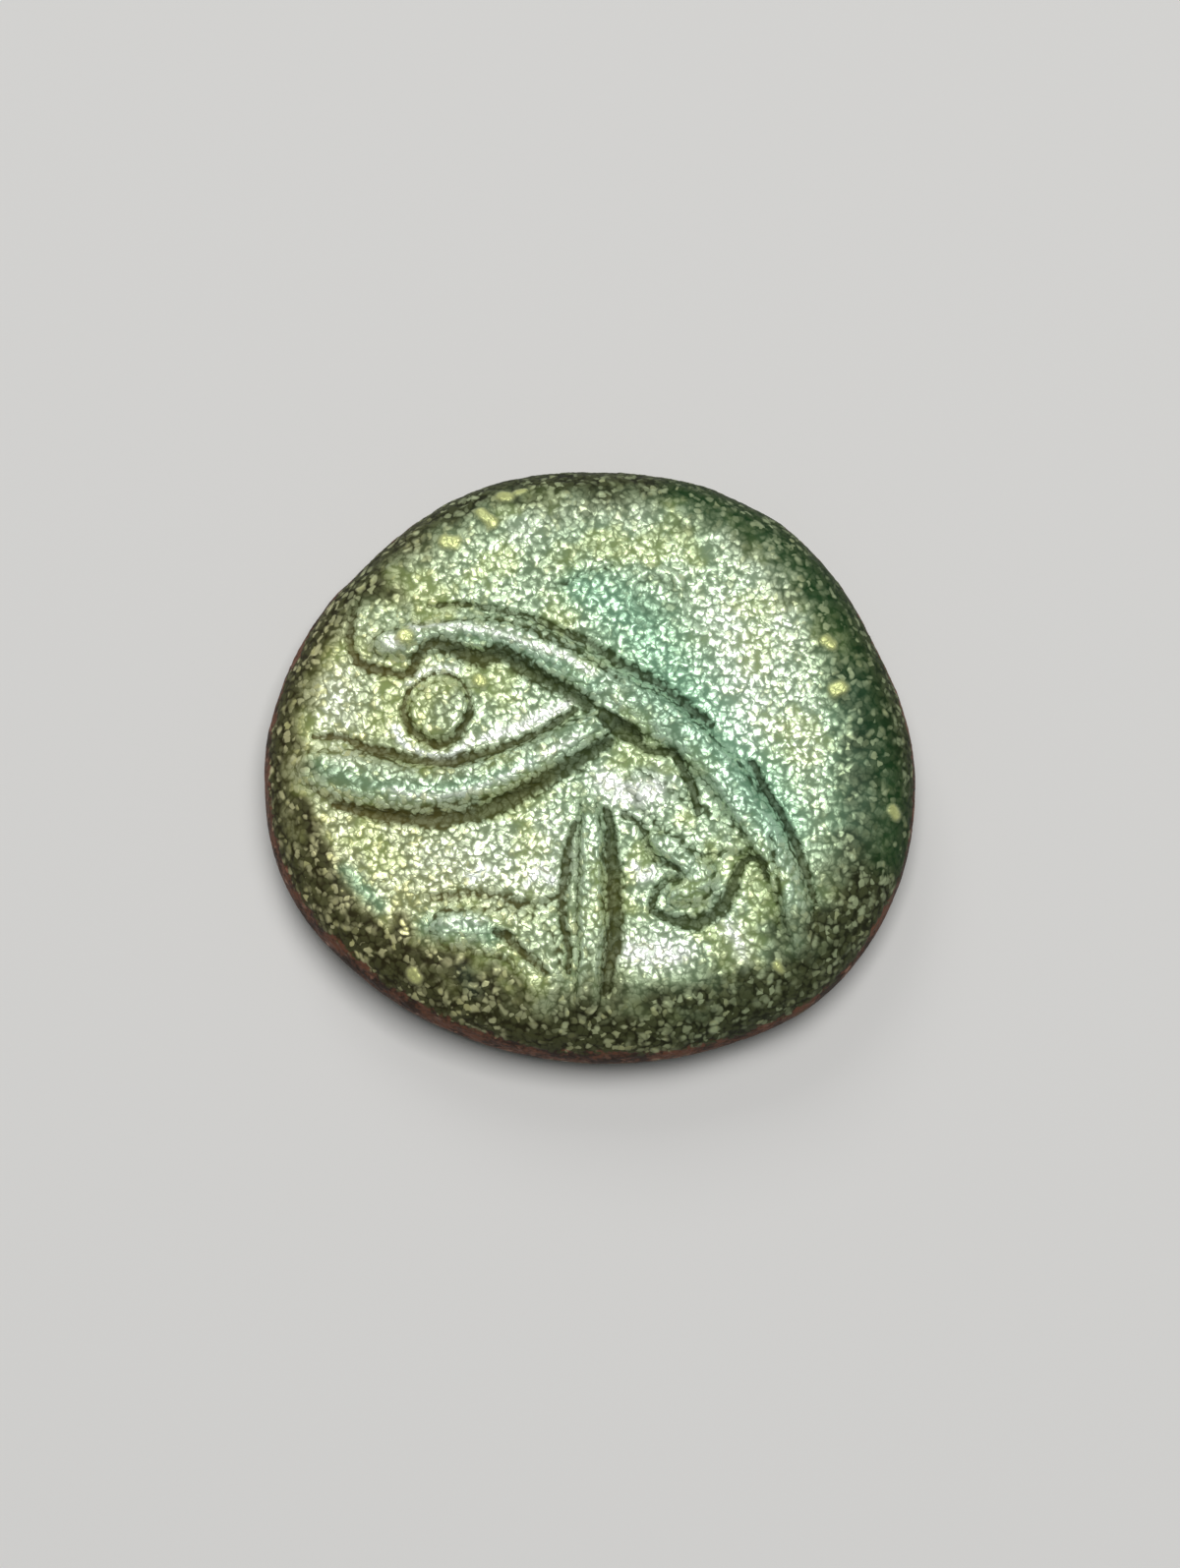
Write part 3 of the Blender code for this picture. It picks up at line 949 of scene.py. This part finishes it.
# %% [markdown]
# The patina's colours
#
# Most of the colour follows the shape. The beads are pale grey-green and still have a metal sheen, and
# dark olive dirt fills the crevices and grooves, with painted shade in the grooves and on the slopes.
# Rubbed patches are paler, partly from wear and partly as painted highlight. Over that lie broad drifts:
# blue-green to the upper right, yellow-olive to the lower left. Down the shoulder the dark takes over,
# partly darker patina and partly painted shade, strewn with cream specks. Round the widest line the
# patina is worn off to brown copper in places, and beneath it the skin is plainer, with dirt in the punch.

# %% Start the material and read what the trees wrote down
def colour(red, green, blue):
    """A colour given in the 0 to 255 of a paint chart, as light."""
    return tuple(((value / 255 + 0.055) / 1.055) ** 2.4 for value in (red, green, blue)) + (1.0,)


def mix(share, first, second):
    """The first colour at a share of 0, and the second at 1."""
    return share.node("ShaderNodeMix", {"data_type": "RGBA"}, [share, first, second])


patina = bpy.data.materials.new("patina")
patina.use_nodes = True
shader = patina.node_tree.nodes["Principled BSDF"]
object_place = Wire(patina.node_tree.nodes.new("ShaderNodeTexCoord").outputs["Object"])
millimetres = object_place.vectors("SCALE", object_place, 1000.0)


def written(name):
    """An attribute that the trees wrote on the skin."""
    return millimetres.node("ShaderNodeAttribute", {"attribute_name": name}, output="Fac")


fall, raised, settled, rubbed = written("fall"), written("raised"), written("settled"), written("rubbed")
dulled, green, teal, crumb = written("dulled"), written("green"), written("teal"), written("crumb")
between = crevices(millimetres, CREVICES_PER_MM) * (0.6 + 0.4 * crevices(millimetres, TRACKS_PER_MM))
bead_top, chances = beads(millimetres, BEADS_PER_MM)
chance, other_chance = chances, chances.beside("Y")
speck_top, speck_chance = beads(millimetres, SPECKS_PER_MM, 0.16, 0.54)
cloud = soft_noise(millimetres, 0.45)
speckle = soft_noise(millimetres, 9.0)
drift = soft_noise(millimetres, 1.3)
patches = soft_noise(millimetres, 0.8)
drifting, clouding, speckling = drift - 0.5, cloud - 0.5, speckle - 0.5
print(f"the finish reads its patterns with {len(patina.node_tree.nodes)} nodes")

# %% [markdown]
# Where each colour lies
#
# Every border on a real coin is ragged. So each measure below, such as how far down the rim a place is or
# how much dirt and painted shade lie there, takes in a little of the drifting, clouding and speckling
# noises before it becomes a share from 0 to 1. A mask painted by hand could look the same, but it would
# fit only this coin.

# %% Where the patina is clean, dirty, painted with shade, on the rim or worn off
split = millimetres.node("ShaderNodeSeparateXYZ", None, {"Vector": millimetres})
to_right, to_top = split.beside("X"), split.beside("Y")
half_mm = 1000 * half_width
on_left = rise(to_right * (-0.9 / half_mm) + to_top * (-0.35 / half_mm) + clouding * 0.9, -0.15, 0.85)
# The rim's dark is partly darker patina and partly painted shade, starting inside the shoulder and pushed
# further in by the dull patches
on_rim = rise(fall + 0.35 * dulled + drifting * 0.8 + clouding * 0.3, 0.26 * on_left - 0.38, 0.42)
beneath = rise(fall + drifting * 0.3, 1.60, 1.98)
punched = rise(split.beside("Z") + speckling * 0.04, 0.01, 0.09)
on_rim = on_rim * (1 - 0.5 * beneath * (1 - punched))
kept_below = rise(fall + drifting * 0.9 + clouding * 0.5 + 0.1 * bead_top, 1.05, 1.35)
worn = fall + to_top * (-0.05 / half_mm) + 0.15 * on_left
worn = worn + drifting * 0.20 + speckling * 0.10 - 0.05 * bead_top
bare = rise(worn, 0.77, 0.83) * (1 - 0.9 * kept_below)
# Dirt in the grooves and crevices, together with the painted shade of the grooves and slopes
dirt_and_shade = rise(settled + speckling * 0.16 + drifting * 0.20 - 0.14 * bead_top, -0.02, 0.22)
grime_and_shade = highest([dirt_and_shade * 0.95, on_rim])
print(f"with the rim, the dirt and the bare copper it is {len(patina.node_tree.nodes)} nodes")

# %% How pale the beads are on the field, and the specks on the rim
field_bead = bead_top * (0.70 + 0.30 * chance) * (0.45 + 0.55 * between)
# Rubbed patches are partly wear and partly painted highlight; where they are strongest the beads are painted
# near white
painted_highlight = rise(rubbed, 0.62, 0.95)
field_bead = field_bead * rise(drift, 0.30, 0.70, 0.92, 1.20) + 0.15 + 0.20 * rubbed + 0.38 * painted_highlight
# Dull patches darken the beads, partly dull patina and partly painted shade down the slopes to the rim and
# round the lumps
field_bead = field_bead * (1 - 0.62 * dulled * rise(cloud + speckle, 0.7, 1.2, 1.0, 0.6)) * (1 - 0.84 * dirt_and_shade)
speck = speck_top * rise(speck_chance, 0.30, 0.75)
small_speck = bead_top * rise(chance, 0.60, 0.98) * 0.7
strewn = highest([speck, small_speck]) * rise(drift, 0.32, 0.55) * (0.80 + 0.40 * on_left)
rim_bead = strewn * rise(fall, 0.45, 0.75, 1.0, 0.6) + 0.04 * bead_top
bead = highest([field_bead * (1 - on_rim) + rim_bead * on_rim, crumb * (0.74 + 0.5 * (speckle - 0.4))])
print(f"with the beads and the specks it is {len(patina.node_tree.nodes)} nodes")

# %% [markdown]
# Paint in layers
#
# The pale beads, the ground between them and the dirt with its painted shade are each mixed from
# layers, as a model maker would wash and dry-brush them. Then one mask lays the beads over the ground, and
# another the copper over both.

# %% The paint chart
PALE_GREEN = colour(212, 236, 198)
PALE_STRAW = colour(222, 230, 184)
LEMON = colour(228, 238, 168)
MINT = colour(162, 228, 192)
SAGE = colour(176, 206, 188)
# Near white for worn patches and painted highlights
RUBBED_AND_HIGHLIGHT_WHITE = colour(238, 246, 232)
RIM_GREEN = colour(190, 202, 152)
RIM_CREAM = colour(212, 206, 152)
YELLOWED = colour(222, 220, 146)
MOSS = colour(98, 124, 88)
OLIVE = colour(108, 116, 62)
GRASS = colour(124, 144, 58)
SEA_GREEN = colour(66, 126, 98)
# Olive and brown for dirt and for painted shade
OLIVE_DIRT_AND_SHADE = colour(50, 62, 12)
BROWN_DIRT_AND_SHADE = colour(82, 72, 18)
# Near black for the rim's darker patina and its painted shade
BLACK_DIRT_AND_SHADE = colour(24, 24, 8)
RIM_MOUND = colour(92, 100, 50)
BOTTLE_GREEN = colour(18, 60, 20)
DEEP_TEAL = colour(16, 42, 32)
CRUMB_YELLOW = colour(228, 234, 152)
DARK_COPPER = colour(54, 38, 26)
BROWN_COPPER = colour(118, 76, 54)
WARM_COPPER = colour(152, 106, 80)
print("pale green, as light:", *(round(value, 2) for value in PALE_GREEN[:3]))

# %% Lay the colours over one another
pale = mix(on_left, PALE_GREEN, PALE_STRAW)
tinted = rise(patches, 0.48, 0.62)
pale = mix(tinted * 0.4 * (1 - teal), pale, LEMON)
pale = mix(teal * 0.5, pale, MINT)
pale = mix(rise(raised, 0.35, 0.9) * 0.3 * (1 - rubbed), pale, SAGE)
# Rubbed patches and painted highlights lighten the beads towards near white
pale = mix(highest([rubbed * 0.7, painted_highlight]), pale, RUBBED_AND_HIGHLIGHT_WHITE)
pale = mix(on_rim * 0.8, pale, mix(on_left, RIM_GREEN, RIM_CREAM))
yellowed = rise(other_chance, 0.70, 1.0) * (0.25 + 0.35 * on_left) * (1 - 0.6 * teal) * (1 - dirt_and_shade)
pale = mix(yellowed, pale, YELLOWED)
ground = mix(on_left, MOSS, OLIVE)
ground = mix(tinted * 0.6 * (1 - teal), ground, GRASS)
ground = mix(teal * 0.62, ground, SEA_GREEN)
silt_and_shade = mix(on_left, OLIVE_DIRT_AND_SHADE, BROWN_DIRT_AND_SHADE)
# Down the rim the ground turns near black, darker patina with painted shade
silt_and_shade = mix(on_rim * 0.8, silt_and_shade, BLACK_DIRT_AND_SHADE)
silt_and_shade = mix(bead_top * on_rim * 0.22, silt_and_shade, RIM_MOUND)
silt_and_shade = mix(green * 0.9, silt_and_shade, BOTTLE_GREEN)
silt_and_shade = mix(teal * 0.5, silt_and_shade, DEEP_TEAL)
# Dirt, painted shade and the dull patches darken the ground between the beads
ground = mix(highest([grime_and_shade, dulled * 0.45]), ground, silt_and_shade)
pale = mix(crumb * 0.8, pale, CRUMB_YELLOW)
skin = mix(bead, ground, pale)
copper = mix(rise(drift + speckling * 0.6, 0.35, 0.65), DARK_COPPER, BROWN_COPPER)
copper = mix(rise(speck_top * speck_chance, 0.4, 0.9), copper, WARM_COPPER)
base_colour = mix(bare, skin, copper)
metal = rise(bead, 0.1, 1.0, 0.06, 0.42)
dull = rise(bead + speckling * 0.3, 0.0, 1.0, 0.68, 0.38)
bump = bead_top.node(
    "ShaderNodeBump", None,
    {"Strength": 0.6, "Distance": 0.00004, "Height": bead_top * (0.8 - 0.4 * on_rim) + speckle * 0.2},
)
shader.inputs["Specular IOR Level"].default_value = 0.2
for name, value in (("Base Color", base_colour), ("Metallic", metal), ("Roughness", dull), ("Normal", bump)):
    patina.node_tree.links.new(value.socket, shader.inputs[name])
print(f"the patina takes {len(patina.node_tree.nodes)} nodes")

# %% [markdown]
# The blow, and the years in the ground
#
# Both trees could stay on the coin as modifiers. Kept as a plain mesh the skin can be measured, and the
# guides can go. How high the relief stands and how deep the grain is eaten are given here, in metres, where
# they are easy to change.

# %% Strike the flan, eat the grain and keep the result as a plain mesh
def apply_tree(piece, tree, **values):
    """Runs a tree on a piece and keeps what it makes as the piece's own mesh."""
    sockets = {item.name: item.identifier for item in tree.interface.items_tree if item.in_out == "INPUT"}
    modifier = piece.modifiers.new(tree.name, "NODES")
    modifier.node_group = tree
    for name, value in values.items():
        modifier[sockets[name.replace("_", " ")]] = value
    depsgraph = bpy.context.evaluated_depsgraph_get()
    made = bpy.data.meshes.new_from_object(piece.evaluated_get(depsgraph), depsgraph=depsgraph)
    piece.modifiers.remove(modifier)
    piece.data = made


DEVICE_RELIEF = 0.00036
apply_tree(coin, strike_tree, Relief=DEVICE_RELIEF, Spacing=0.00004, Wander=0.00022)
apply_tree(coin, grain_tree, Grain_Depth=0.000022, Lump_Height=0.00008, Swell_Height=0.00012, Finish=patina)
for guide in guides.values():
    bpy.data.objects.remove(guide)
heights = [vertex.co.z for vertex in coin.data.vertices]
print(f"the struck coin has {len(coin.data.polygons)} faces and is {1000 * max(heights):.2f} mm high")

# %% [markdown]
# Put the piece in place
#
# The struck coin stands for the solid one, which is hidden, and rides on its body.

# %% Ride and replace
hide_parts("coin")
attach(coin, "root")
print("the coin is ready")
